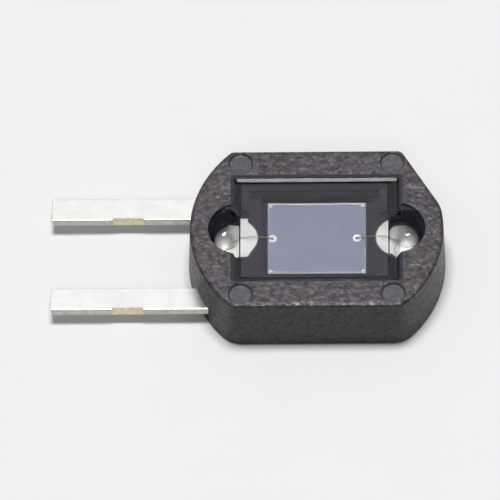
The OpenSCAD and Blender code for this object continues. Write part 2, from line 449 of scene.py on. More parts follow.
class Effects:
    """Shader node groups that several finishes share."""

    CLOUD = (0.34, 0.66)
    CHOSEN = (0.72, 0.98)
    SPECK = (0.15, 0.55)
    PIT_SHARE = 0.6
    STRETCH = (0.035, 1.0, 1.0)
    STREAK = (0.3, 0.7)

    @classmethod
    def grain(cls) -> Tree:
        """Fine moulded grain: tone patches, bright specks, tinted grains and a height.

        Returns:
            The shared group, built once.
        """
        name = "fine_grain"
        if name in bpy.data.node_groups:
            return bpy.data.node_groups[name]
        inputs = {"Place": "Vector", "Grains": "Float", "Specks": "Float"}
        outputs = dict.fromkeys(("Tone", "Speck", "Tint", "Height"), "Float")
        sheet, start = NodeSheet.group(name, "ShaderNodeTree", inputs, outputs)
        place, grains, specks = start["Place"], start["Grains"], start["Specks"]
        noise = {"Detail": 3.0, "Roughness": 0.62}
        cloud = sheet.add("ShaderNodeTexNoise", Vector=place, Scale=grains, **noise).outputs
        pits = sheet.add("ShaderNodeTexVoronoi", Vector=place, Scale=specks, Randomness=1.0).outputs
        lot = sheet.add("ShaderNodeSeparateColor", pits["Color"]).outputs["Red"]
        hue = sheet.add("ShaderNodeSeparateColor", cloud["Color"]).outputs["Green"]
        chosen = sheet.span(lot, 0.0, 1.0, cls.CHOSEN)
        near = sheet.span(pits["Distance"], 1.0, 0.0, cls.SPECK)
        sheet.add(
            "NodeGroupOutput",
            Tone=sheet.span(cloud["Fac"], 0.0, 1.0, cls.CLOUD),
            Speck=sheet.math("MULTIPLY", chosen, near),
            Tint=sheet.span(hue, 0.0, 1.0, cls.CLOUD),
            Height=sheet.math("MULTIPLY_ADD", pits["Distance"], cls.PIT_SHARE, cloud["Fac"]),
        )
        return sheet.tree

    @classmethod
    def streaks(cls) -> Tree:
        """Fine lines along X, as rolling and drawing leave them, over soft patches.

        Returns:
            The shared group, built once.
        """
        name = "rolled_streaks"
        if name in bpy.data.node_groups:
            return bpy.data.node_groups[name]
        inputs = {"Place": "Vector", "Lines": "Float", "Patches": "Float"}
        outputs = dict.fromkeys(("Line", "Patch"), "Float")
        sheet, start = NodeSheet.group(name, "ShaderNodeTree", inputs, outputs)
        place = start["Place"]
        long = sheet.add("ShaderNodeVectorMath", place, cls.STRETCH, operation="MULTIPLY").outputs[0]
        found = {}
        for title, where, scale, rough in (
            ("Line", long, start["Lines"], 0.6), ("Patch", place, start["Patches"], 0.5),
        ):
            noise = {"Detail": 2.0, "Roughness": rough}
            cloud = sheet.add("ShaderNodeTexNoise", Vector=where, Scale=scale, **noise).outputs["Fac"]
            found[title] = sheet.span(cloud, 0.0, 1.0, cls.STREAK)
        sheet.add("NodeGroupOutput", **found)
        return sheet.tree


class Finish:
    """Base of the finishes: one material, made once."""

    name: str

    def material(self) -> bpy.types.Material:
        """The finish as a material.

        Returns:
            The material, made at the first call.
        """
        made = bpy.data.materials.get(self.name)
        if made is None:
            made = bpy.data.materials.new(self.name)
            made.use_nodes = True
            made.node_tree.nodes.clear()
            sheet = NodeSheet(made.node_tree)
            shader = sheet.add("ShaderNodeBsdfPrincipled", **self.inputs(sheet))
            sheet.add("ShaderNodeOutputMaterial", Surface=shader.outputs["BSDF"])
        return made

    def inputs(self, sheet: NodeSheet) -> dict[str, object]:
        """Values and outputs that feed the shader, by input; each finish has its own."""
        raise NotImplementedError


@dataclass(frozen=True)
class Moulded(Finish):
    """Moulding compound with a fine grain.

    Attributes:
        name: name of the material.
        dark: colour in the hollows.
        light: colour on the grains.
        speck: colour of the bright filler specks.
        smooth: lowest roughness.
        rough: highest roughness.
        grain: size of the tone patches, in millimetres.
        speck_size: size of the specks, in millimetres.
        depth: depth of the relief, in millimetres.
        gloss: specular level; 0 where clear resin wets the surface.
        warm: tint of the warmer grains.
        cool: tint of the cooler grains.
    """

    name: str
    dark: Colour
    light: Colour
    speck: Colour
    smooth: float
    rough: float
    grain: float
    speck_size: float
    depth: float
    gloss: float = 0.5
    warm: Colour = (1.03, 1.0, 0.95)
    cool: Colour = (0.98, 1.0, 1.05)

    def inputs(self, sheet: NodeSheet) -> dict[str, object]:
        """Grain in colour, gloss and relief.

        Args:
            sheet: nodes of the material.

        Returns:
            Values and outputs that feed the shader, by input.
        """
        sizes = {"Grains": 1 / (self.grain * MM), "Specks": 1 / (self.speck_size * MM)}
        grain = sheet.effect(Effects.grain(), **sizes)
        tint = sheet.mix(grain["Tint"], self.warm, self.cool)
        tone = sheet.mix(1.0, sheet.mix(grain["Tone"], self.dark, self.light), tint, "MULTIPLY")
        return {
            "Base_Color": sheet.mix(grain["Speck"], tone, self.speck),
            "Roughness": sheet.span(grain["Tone"], self.rough, self.smooth),
            "Specular_IOR_Level": self.gloss,
            "Normal": sheet.relief(grain["Height"], self.depth),
        }


@dataclass(frozen=True)
class Metal(Finish):
    """Rolled, plated or drawn metal.

    Attributes:
        name: name of the material.
        dull: colour in the duller patches.
        bright: colour in the brighter patches.
        smooth: lowest roughness.
        rough: highest roughness.
        line: width of the streaks, in millimetres.
        patch: size of the patches, in millimetres.
        depth: depth of the streaks, in millimetres.
    """

    name: str
    dull: Colour
    bright: Colour
    smooth: float
    rough: float
    line: float
    patch: float
    depth: float

    def inputs(self, sheet: NodeSheet) -> dict[str, object]:
        """Streaks in gloss and relief, patches in colour.

        Args:
            sheet: nodes of the material.

        Returns:
            Values and outputs that feed the shader, by input.
        """
        sizes = {"Lines": 1 / (self.line * MM), "Patches": 1 / (self.patch * MM)}
        streaks = sheet.effect(Effects.streaks(), **sizes)
        return {
            "Base_Color": sheet.mix(streaks["Patch"], self.dull, self.bright),
            "Metallic": 1.0,
            "Roughness": sheet.span(streaks["Line"], self.smooth, self.rough),
            "Normal": sheet.relief(streaks["Line"], self.depth),
        }


@dataclass(frozen=True)
class Tinted(Finish):
    """Base of the finishes that change softly between two tints.

    Attributes:
        name: name of the material.
        low: tint in the clearest, thinnest or deepest places.
        high: tint elsewhere.
        patch: size of the soft changes, in millimetres.
    """

    name: str
    low: Colour
    high: Colour
    patch: float

    def tint(self, sheet: NodeSheet) -> tuple[Socket, Socket]:
        """The soft changes as a value and as a colour."""
        tone = sheet.effect(Effects.grain(), Grains=1 / (self.patch * MM))["Tone"]
        return tone, sheet.mix(tone, self.low, self.high)


@dataclass(frozen=True)
class CoatedSilicon(Tinted):
    """Polished silicon under a thin coating.

    Attributes:
        smooth: lowest roughness.
        rough: highest roughness.
    """

    smooth: float
    rough: float

    def inputs(self, sheet: NodeSheet) -> dict[str, object]:
        """Soft changes of the coating's tint and gloss."""
        tone, tint = self.tint(sheet)
        return {"Base_Color": tint, "Roughness": sheet.span(tone, self.smooth, self.rough)}


@dataclass(frozen=True)
class Clear(Tinted):
    """Clear glass or resin.

    Attributes:
        index: index of refraction.
        rough: highest roughness of the surface.
        gloss: specular level of the surface.
        sheen: tint of what it reflects.
    """

    index: float
    rough: float
    gloss: float
    sheen: Colour = (1.0, 1.0, 1.0)

    def inputs(self, sheet: NodeSheet) -> dict[str, object]:
        """Clear body with a barely uneven surface.

        Args:
            sheet: nodes of the material.

        Returns:
            Values and outputs that feed the shader, by input.
        """
        tone, tint = self.tint(sheet)
        return {
            "Base_Color": tint,
            "Roughness": sheet.span(tone, 0.0, self.rough),
            "IOR": self.index,
            "Transmission_Weight": 1.0,
            "Specular_IOR_Level": self.gloss,
            "Specular_Tint": self.sheen,
        }


@dataclass(frozen=True)
class OpticalContact(Tinted):
    """Face where glass and resin of the same index meet, which light passes unbent."""

    def inputs(self, sheet: NodeSheet) -> dict[str, object]:
        """Nothing of the face itself shows."""
        return {"Base_Color": self.tint(sheet)[1], "Alpha": 0.0}


@dataclass(frozen=True)
class Paper(Tinted):
    """Plain pale floor."""

    def inputs(self, sheet: NodeSheet) -> dict[str, object]:
        """Matt and almost even."""
        return {"Base_Color": self.tint(sheet)[1], "Roughness": 1.0, "Specular_IOR_Level": 0.0}


WETTED = {
    "smooth": 0.6, "rough": 0.7, "grain": 0.07, "speck_size": 0.05, "depth": 0.001, "gloss": 0.0,
}
TOP_SKIN = Moulded(
    "housing_grained_top", (0.004, 0.0038, 0.0044), (0.074, 0.0712, 0.0755), (0.135, 0.129, 0.132),
    smooth=0.32, rough=0.58, grain=0.145, speck_size=0.115, depth=0.018,
    warm=(1.24, 0.98, 0.68), cool=(0.96, 0.88, 1.42),
)
# Partly painted shade: the walls are a darker copy of the top's moulding, for sides that face away from
# the overhead light; their finer, flatter grain is their own.
WALL_SKIN_PAINTED_SHADE = Moulded(
    "housing_plain_wall", (0.004, 0.0042, 0.0036), (0.021, 0.0212, 0.0185), (0.045, 0.044, 0.04),
    smooth=0.36, rough=0.52, grain=0.14, speck_size=0.12, depth=0.006, gloss=0.42,
    warm=(1.1, 1.03, 0.8), cool=(0.97, 0.99, 1.16),
)
SMOOTH_MARK = Moulded(
    "housing_smooth_mark", (0.045, 0.045, 0.054), (0.078, 0.077, 0.088), (0.11, 0.11, 0.118),
    smooth=0.45, rough=0.58, grain=0.12, speck_size=0.08, depth=0.006,
)
# Partly painted highlight: the seam grooves catch the lamps by their shape, and their colour is painted
# lighter than the top as a glint.
SEAM_PAINTED_GLINT = Moulded(
    "housing_seam_line", (0.08, 0.08, 0.082), (0.14, 0.137, 0.14), (0.26, 0.25, 0.25),
    smooth=0.38, rough=0.5, grain=0.05, speck_size=0.04, depth=0.001, gloss=0.3,
)
INNER_SKIN = Moulded(
    "housing_inner_skin", (0.062, 0.061, 0.081), (0.074, 0.073, 0.094), (0.094, 0.092, 0.114), **WETTED
)
# Painted light: a lighter copy of the inner skin for the upright walls of the rooms, cancelling the
# shade they stand in.
INNER_WALL_PAINTED_FILL = Moulded(
    "housing_inner_step", (0.15, 0.146, 0.186), (0.172, 0.168, 0.211), (0.2, 0.198, 0.245), **WETTED
)
# Painted shade: a near-black copy of the inner skin for the seat floor beside the window, where the
# gaps look dark.
SEAT_FLOOR_PAINTED_SHADE = Moulded(
    "housing_seat_floor", (0.009, 0.0088, 0.011), (0.013, 0.0127, 0.016), (0.02, 0.0195, 0.024),
    **WETTED,
)
ADHESIVE = Moulded(
    "die_adhesive", (0.085, 0.084, 0.104), (0.1, 0.099, 0.12), (0.12, 0.119, 0.142),
    smooth=0.5, rough=0.6, grain=0.08, speck_size=0.05, depth=0.002, gloss=0.0,
)
SAWN_SILICON = Moulded(
    "chip_sawn_side", (0.06, 0.063, 0.07), (0.11, 0.115, 0.125), (0.2, 0.2, 0.21),
    smooth=0.3, rough=0.5, grain=0.03, speck_size=0.04, depth=0.002,
)
# Painted shade: an opaque near-black finish on the window's chamfered edges, standing in for the dark
# outline of the glass edge.
WINDOW_EDGE_PAINTED_SHADE = Moulded(
    "window_ground_edge", (0.016, 0.016, 0.019), (0.026, 0.026, 0.03), (0.04, 0.04, 0.044),
    smooth=0.5, rough=0.65, grain=0.05, speck_size=0.04, depth=0.001, gloss=0.2,
)
PLATING = Metal(
    "lead_plating", (0.8, 0.8, 0.79), (0.87, 0.87, 0.86),
    smooth=0.2, rough=0.27, line=0.02, patch=0.35, depth=0.0003,
)
# Partly painted shade: the pads and risers are a darker copy of the lead plating, for the shade of
# their depth under the window; the rougher finish is their own.
PAD_PLATING_PAINTED_SHADE = Metal(
    "pad_silvered", (0.67, 0.675, 0.645), (0.73, 0.735, 0.705),
    smooth=0.3, rough=0.38, line=0.03, patch=0.25, depth=0.0003,
)
CUT_EDGE = Metal(
    "lead_sheared_edge", (0.46, 0.43, 0.38), (0.62, 0.58, 0.52),
    smooth=0.35, rough=0.55, line=0.02, patch=0.12, depth=0.002,
)
BARE_ALLOY = Metal(
    "lead_bare_alloy", (0.66, 0.59, 0.4), (0.84, 0.78, 0.58),
    smooth=0.32, rough=0.5, line=0.03, patch=0.1, depth=0.003,
)
THIN_FILM = Metal(
    "contact_thin_film", (0.3, 0.32, 0.37), (0.36, 0.385, 0.435),
    smooth=0.3, rough=0.4, line=0.01, patch=0.12, depth=0.0004,
)
BOND_FILM = Metal(
    "contact_bond_film", (0.78, 0.8, 0.8), (0.9, 0.92, 0.92),
    smooth=0.3, rough=0.45, line=0.01, patch=0.05, depth=0.0006,
)
BAR_FILM = Metal(
    "contact_bar_film", (0.56, 0.59, 0.64), (0.64, 0.67, 0.72),
    smooth=0.35, rough=0.5, line=0.01, patch=0.05, depth=0.0006,
)
FINE_WIRE = Metal(
    "bond_wire", (0.6, 0.55, 0.42), (0.76, 0.71, 0.57),
    smooth=0.5, rough=0.6, line=0.006, patch=0.1, depth=0.0002,
)
COATING = CoatedSilicon(
    "chip_coating", (0.39, 0.435, 0.605), (0.42, 0.465, 0.645), patch=0.9, smooth=0.12, rough=0.2
)
GLASS = Clear(
    "window_clear", (0.97, 0.98, 0.98), (1.0, 1.0, 1.0),
    patch=0.8, index=1.5, rough=0.004, gloss=0.68, sheen=(0.95, 0.94, 1.0),
)
RESIN = Clear(
    "resin_clear", (0.985, 0.985, 0.98), (1.0, 1.0, 1.0), patch=0.3, index=1.5, rough=0.1, gloss=0.28
)
BONDED = OpticalContact("bonded_face", (0.985, 0.985, 0.985), (1.0, 1.0, 1.0), patch=0.5)
FLOOR = Paper("pale_floor", (0.853, 0.853, 0.853), (0.863, 0.863, 0.863), patch=10 / 3)


# ---------------------------------------------------------------------------------------------
# Sub-assemblies
# ---------------------------------------------------------------------------------------------


@dataclass(frozen=True)
class Levels:
    """Heights above the underside, in millimetres."""

    lead_low: float = 0.30
    lead_high: float = 0.52
    floor: float = 0.58
    chip_low: float = 0.60
    chip_high: float = 0.82
    film: float = 0.832
    shelf: float = 0.85
    pad: float = 0.89
    ledge: float = 1.18
    window: float = 1.52
    top: float = 1.55


@dataclass
class LeadPair:
    """Two flat leads with tie-bar cuts, risers and round bond pads.

    tip_roll holds steps along the strip with their insets, and pad_rim insets with their drops.
    """

    levels: Levels
    pitch: float = 2.54
    width: float = 0.62
    reach: float = 6.23
    edge: float = 0.032
    tip_roll: Steps = ((0.0, 0.014), (0.004, 0.006), (0.014, 0.0))
    stations: tuple[float, ...] = (0.6, 1.2, 2.4, 3.2)
    cut_middle: float = 4.43
    cut_length: float = 0.74
    cut_depth: float = 0.06
    cut_under: float = 0.01
    cut_over: float = 0.2
    cut_wide: float = 0.4
    pad_x: float = 1.91
    pad_radius: float = 0.55
    pad_corner: float = 0.32
    pad_soft: float = 0.06
    pad_foot: float = 0.02
    pad_rim: Steps = ((0.0, 0.035), (0.01, 0.012), (0.034, 0.0))
    riser_width: float = 0.45
    riser_slack: float = 0.004
    riser_shift: float = 0.08
    riser_start: float = 0.75
    riser_end: float = 0.4395
    riser_lean: float = 0.1026
    bite_lean: float = 0.15
    shear_lean: float = 0.35

    def strip(self, end_x: float) -> Piece:
        """Straight strip on the +Y side, with rounded edges.

        Args:
            end_x: inner end of the strip.

        Returns:
            The strip.
        """
        low, high, tip = self.levels.lead_low, self.levels.lead_high, -self.reach
        middle = (self.pitch / 2, (low + high) / 2)
        runs = [(tip + along, inset) for along, inset in self.tip_roll]
        runs += [(tip + along, 0.0) for along in self.stations] + [(end_x, 0.0)]
        rings = []
        for x, inset in runs:
            size = (self.width - 2 * inset, high - low - 2 * inset)
            rings.append([(x, y, z) for y, z in rounded_rectangle(size, self.edge, middle)])
        return as_object("strip", lofted(rings), PLATING)

    def tie_cut(self, edge: int) -> Piece:
        """Slanted bite of the tie-bar cut in one edge of the +Y strip.

        Args:
            edge: +1 for the outer edge, -1 for the inner one.

        Returns:
            The cutting shape.
        """
        low, high = self.levels.lead_low, self.levels.lead_high
        slope = self.cut_depth / (high - low)
        at = self.pitch / 2 + edge * self.width / 2
        foot, top, wide = low - self.cut_under, high + self.cut_over, self.cut_wide
        deep = -self.cut_depth - slope * self.cut_over
        section = [(0.0, foot), (deep, top), (wide, top), (wide, foot)]
        middle, half = -self.cut_middle, self.cut_length / 2
        bm = prism(
            section, lambda p, x: (x, at + edge * p[0], p[1]), middle - half, middle + half
        )
        return as_object("tie_cut", bm, BARE_ALLOY)

    def riser(self, pad_at: float) -> Piece:
        """Bent arm from the strip up to the bond pad.

        Args:
            pad_at: middle of the pad along X.

        Returns:
            The arm.
        """
        lv, start, end = self.levels, self.riser_start, self.riser_end
        low = lv.pad - (lv.lead_high - lv.lead_low)
        outer = self.pitch / 2 + self.width / 2 - self.edge
        section = [
            (outer, lv.lead_low), (start, lv.lead_low), (end, low), (0.0, low),
            (0.0, lv.pad), (end + self.riser_lean, lv.pad),
            (start + self.riser_lean, lv.lead_high), (outer, lv.lead_high),
        ]
        middle, half = pad_at + self.riser_shift, self.riser_width / 2 - self.riser_slack
        bm = prism(section, lambda p, x: (x, p[0], p[1]), middle - half, middle + half)
        # The riser gets the darker plating: painted shade.
        return as_object("riser", bm, PAD_PLATING_PAINTED_SHADE)

    def pad_outline(self, pad_at: float, inset: float, squared: bool) -> list[Spot]:
        """Outline of a bond pad.

        Args:
            pad_at: middle of the pad along X.
            inset: distance by which the outline is drawn in.
            squared: whether the pad has the squared corner toward +X and -Y.

        Returns:
            The outline's points, counter-clockwise.
        """
        r, soft = self.pad_radius, self.pad_soft
        if not squared:
            return circle(r - inset, (pad_at, 0.0), ROUND)
        lean = math.atan2(r - self.pad_corner, r)
        reach = r * math.cos(lean)
        meet = -math.degrees(lean + math.acos((reach - inset) / (r - inset)))
        corner = (pad_at + (reach - soft - (r - soft) * math.sin(lean)) / math.cos(lean), soft - r)
        points = arc((pad_at, 0.0), r - inset, meet, 270, chords=80)
        return points + arc(corner, soft - inset, 270, 360 - math.degrees(lean), chords=8)

    def pad(self, pad_at: float, squared: bool) -> Piece:
        """Bond pad with a softly rolled rim.

        Args:
            pad_at: middle of the pad along X.
            squared: whether the pad has the squared corner.

        Returns:
            The pad.
        """
        top, foot = self.levels.pad, self.pad_foot
        low = top - (self.levels.lead_high - self.levels.lead_low)
        steps = [(foot, low), (0.0, low + foot)] + [(inset, top - drop) for inset, drop in self.pad_rim]
        rings = [ring(self.pad_outline(pad_at, inset, squared), z) for inset, z in steps]
        # The pad gets the darker plating: painted shade.
        return as_object("pad", lofted(rings), PAD_PLATING_PAINTED_SHADE)

    def build(self, side: Side) -> Piece:
        """One whole lead.

        Args:
            side: which of the two leads.

        Returns:
            The lead, still in millimetres.
        """
        pad_at = -side.value * self.pad_x
        lead = self.strip(pad_at + self.riser_shift + self.riser_width / 2)
        lead.name = f"{side.name.lower()}_lead_plated"
        combine(lead, self.tie_cut(-side.value), Join.CUT)
        combine(lead, self.riser(pad_at), Join.ADD)
        combine(lead, self.pad(pad_at, side is Side.CATHODE), Join.ADD)
        if side is Side.ANODE:
            lead.data.transform(Matrix.Diagonal((1.0, -1.0, 1.0, 1.0)))
            lead.data.flip_normals()
        repaint(lead, CUT_EDGE, self.sheared)
        even_normals(lead, sharp_above=40.0)
        return lead

    def sheared(self, middle: Vector, normal: Vector) -> bool:
        """Whether a face is one of the bare sheared faces along the strip's edges.

        Args:
            middle: middle of the face.
            normal: its normal.

        Returns:
            True for a sheared face.
        """
        steep = abs(normal.z)
        along = abs(normal.y) > FACING or abs(normal.x) > FACING
        bite = abs(middle.x + self.cut_middle) < self.cut_length / 2 and steep > self.bite_lean
        inside = self.levels.lead_low < middle.z < self.levels.lead_high
        return steep < self.shear_lean and along and inside and not bite


@dataclass
class Housing:
    """Moulded housing: a disc with two parallel sides, a polarity flat, a window seat and pockets.

    A rim or a floor is a row of steps outward and up from its edge; roll has steps inward and down.
    """

    levels: Levels
    radius: float = 2.965
    side_y: float = 2.20
    draft: float = 0.045
    index_angle: float = 30.0
    index_reach: float = 2.825
    index_blend: float = 0.8
    corner: float = 0.16
    foot_corner: float = 0.6
    foot_steps: int = 4
    wall_steps: int = 8
    rim: float = 0.055
    roll: Steps = (
        (0.0, 0.062), (0.004, 0.046), (0.014, 0.031), (0.032, 0.0185),
        (0.056, 0.0095), (0.085, 0.003), (0.12, 0.0),
    )
    seat: Spot = (4.0, 3.0)
    seat_corner: float = 0.05
    seat_bevel: float = 0.06
    seat_soft: float = 0.004
    seat_lip: float = 0.012
    seat_over: Spot = (0.3, 0.02)
    window_x: float = -0.055
    # Rectangle of seat floor that keeps the inner skin; the floor around it gets painted shade. It sits
    # 0.13 toward +Y from the window so the shade shows in the gaps.
    unshaded_floor: Spot = (3.42, 2.62)
    unshaded_floor_y: float = 0.06
    unshaded_floor_corner: float = 0.02
    opening: Spot = (3.07, 2.34)
    cavity: Spot = (2.57, 2.28)
    room_corner: float = 0.06
    room_over: float = 0.05
    pocket_x: float = 1.83
    pocket_radius: float = 0.70
    pocket_rim: Steps = ((0.0, -0.03), (0.006, -0.01), (0.02, 0.003), (0.1, 0.1))
    mark: Spot = (1.778, 1.85)
    mark_radius: float = 0.29
    mark_depth: float = 0.07
    mark_floor: Steps = ((-0.06, 0.0), (-0.03, 0.01), (-0.012, 0.03))
    mark_rim: Steps = ((-0.002, -0.008), (0.004, 0.0), (0.02, 0.03))
    witness: tuple[Point, ...] = (
        (2.28, -1.08, 0.22), (2.35, 1.12, 0.33), (-2.1, 1.15, 0.12), (-2.34, -1.08, 0.14),
    )
    line_width: float = 0.012
    line_corner: float = 0.0059
    line_rim: Steps = ((0.0, -0.016), (0.026, 0.0), (0.039, 0.008))
    wall_lean: float = 0.6
    touch: float = 0.001
    cover_slack: float = 0.01

    def outline(self, inset: float, corner: float) -> list[Spot]:
        """Outline of the housing, drawn in by an even distance.

        Args:
            inset: distance from the full outline.
            corner: radius of the corners of the full outline.

        Returns:
            Points, counter-clockwise from the start of the polarity flat.
        """
        r, c = self.radius - inset, corner - inset
        inner_y = self.side_y - corner
        inner_x = math.sqrt((self.radius - corner) ** 2 - inner_y**2)
        turn = math.degrees(math.atan2(inner_y, inner_x))
        index = math.radians(self.index_angle)
        index_x = (self.index_reach - corner - inner_y * math.sin(index)) / math.cos(index)
        hub = self.radius - self.index_blend
        meet = index - math.acos((self.index_reach - self.index_blend) / hub)
        blend, end = (hub * math.cos(meet), hub * math.sin(meet)), math.degrees(meet)
        points = arc((index_x, inner_y), c, self.index_angle, 90, chords=10)
        points += arc((-inner_x, inner_y), c, 90, 180 - turn, chords=8)
        points += arc(MIDDLE, r, 180 - turn, 180 + turn, chords=48)[1:-1]
        points += arc((-inner_x, -inner_y), c, 180 + turn, 270, chords=8)
        points += arc((inner_x, -inner_y), c, 270, 360 - turn, chords=8)
        points += arc(MIDDLE, r, -turn, end, chords=30)[1:]
        points += arc(blend, self.index_blend - inset, end, self.index_angle, chords=10)[1:]
        return points

    def shell(self) -> Piece:
        """Solid housing with rolled rims, wider and softer at its foot by the draft.

        Returns:
            The housing without its hollows.
        """
        top, rim, foot = self.levels.top, self.rim, self.foot_corner
        profile = []
        for k in range(self.foot_steps + 1):
            a = math.radians(90 * k / self.foot_steps)
            profile.append((rim * (1 - math.sin(a)) - self.draft, rim * (1 - math.cos(a)), foot))
        for k in range(1, self.wall_steps):
            part = k / self.wall_steps
            corner = foot + (self.corner - foot) * part
            profile.append((-self.draft * (1 - part), rim + (top - 2 * rim) * part, corner))
        profile += [(inset, top - drop, self.corner) for inset, drop in self.roll]
        rings = [ring(self.outline(inset, corner), z) for inset, z, corner in profile]
        body = as_object("housing_moulded", lofted(rings), TOP_SKIN)
        # The walls get the darker copy of the moulding: painted shade.
        repaint(body, WALL_SKIN_PAINTED_SHADE, lambda at, normal: normal.z < self.wall_lean)
        return body

    def seat_room(self) -> Piece:
        """Cutting shape of the window seat, with a bevelled rim and the floor beside the window painted
        dark as shade.

        Returns:
            The cutting shape.
        """
        ledge, top, b = self.levels.ledge, self.levels.top, self.seat_bevel
        soft, lip, over = self.seat_soft, self.seat_lip, self.seat_over
        steps = [
            (-b, ledge), (-b, top - b - lip), (-b + soft, top - b), (0.0, top - soft),
            (lip, top), (over[0], top + over[1]),
        ]
        middle = (self.window_x, self.unshaded_floor_y)
        floor = box_rings(self.unshaded_floor, [(0.0, ledge)], self.unshaded_floor_corner, middle)
        rings = floor + box_rings(self.seat, steps, self.seat_corner)
        room = as_object("seat_room", lofted(rings), INNER_SKIN)
        # The floor beside the window gets the painted shade.
        repaint(room, SEAT_FLOOR_PAINTED_SHADE, self.painted_shade_beside_window)
        return room

    def painted_shade_beside_window(self, at: Vector, normal: Vector) -> bool:
        """Whether a face of the seat's cutting shape makes the floor beside the window, which gets the
        painted shade.

        Args:
            at: middle of the face.
            normal: its normal.

        Returns:
            True for the floor beyond the unshaded rectangle, which follows the window's outline shifted
            toward +Y, so the painted shade lands where the gaps are seen.
        """
        beyond_x = abs(at.x - self.window_x) - self.unshaded_floor[0] / 2
        beyond_y = abs(at.y - self.unshaded_floor_y) - self.unshaded_floor[1] / 2
        low = abs(at.z - self.levels.ledge) < self.touch
        return low and max(beyond_x, beyond_y) > -self.cover_slack

    def box_room(self, size: Spot, at_x: float, low: float, high: float) -> Piece:
        """Cutting shape with round corners between two levels; its upright walls get painted light.

        Args:
            size: lengths along X and Y.
            at_x: its middle along X.
            low: its lower level.
            high: its upper level.

        Returns:
            The cutting shape.
        """
        rings = box_rings(size, [(0.0, low), (0.0, high)], self.room_corner, (at_x, 0.0))
        room = as_object("box_room", lofted(rings), INNER_SKIN)
        # Upright walls get the painted light.
        repaint(room, INNER_WALL_PAINTED_FILL, lambda at, normal: abs(normal.z) < HALF_WAY)
        return room

    def build(self, leads: Iterable[Piece]) -> Piece:
        """The housing, closed around the leads.

        Args:
            leads: finished leads that pass through it.

        Returns:
            The housing, still in millimetres.
        """
        lv, top, over = self.levels, self.levels.top, self.room_over
        body = self.shell()
        tools = [self.seat_room()]
        r = self.pocket_radius
        pocket = [(r, lv.shelf)] + [(r + out, top + up) for out, up in self.pocket_rim]
        for side in (-1, 1):
            tools.append(as_object("pocket", turned(pocket, (side * self.pocket_x, 0)), INNER_SKIN))
        tools.append(self.box_room(self.opening, self.window_x, lv.shelf, lv.ledge + over))
        tools.append(self.box_room(self.cavity, 0.0, lv.floor, lv.shelf + over))
        m, low = self.mark_radius, top - self.mark_depth
        mark = [(m + out, low + up) for out, up in self.mark_floor]
        mark += [(m + out, top + up) for out, up in self.mark_rim]
        for sx in (-1, 1):
            for sy in (-1, 1):
                at = (sx * self.mark[0], sy * self.mark[1])
                tools.append(as_object("mark", turned(mark, at), SMOOTH_MARK))
        line = [(out, top + up) for out, up in self.line_rim]
        for x, y, length in self.witness:
            rings = box_rings((length, self.line_width), line, self.line_corner, (x, y))
            # The seam grooves get the lighter colour: a painted glint.
            tools.append(as_object("witness_line", lofted(rings), SEAM_PAINTED_GLINT))
        for lead in leads:
            tools.append(lead.copy())
            tools[-1].data = lead.data.copy()
            bpy.context.scene.collection.objects.link(tools[-1])
            paint(tools[-1], INNER_SKIN)
        for tool in tools:
            combine(body, tool, Join.CUT)
        even_normals(body, sharp_above=34.0)
        return body


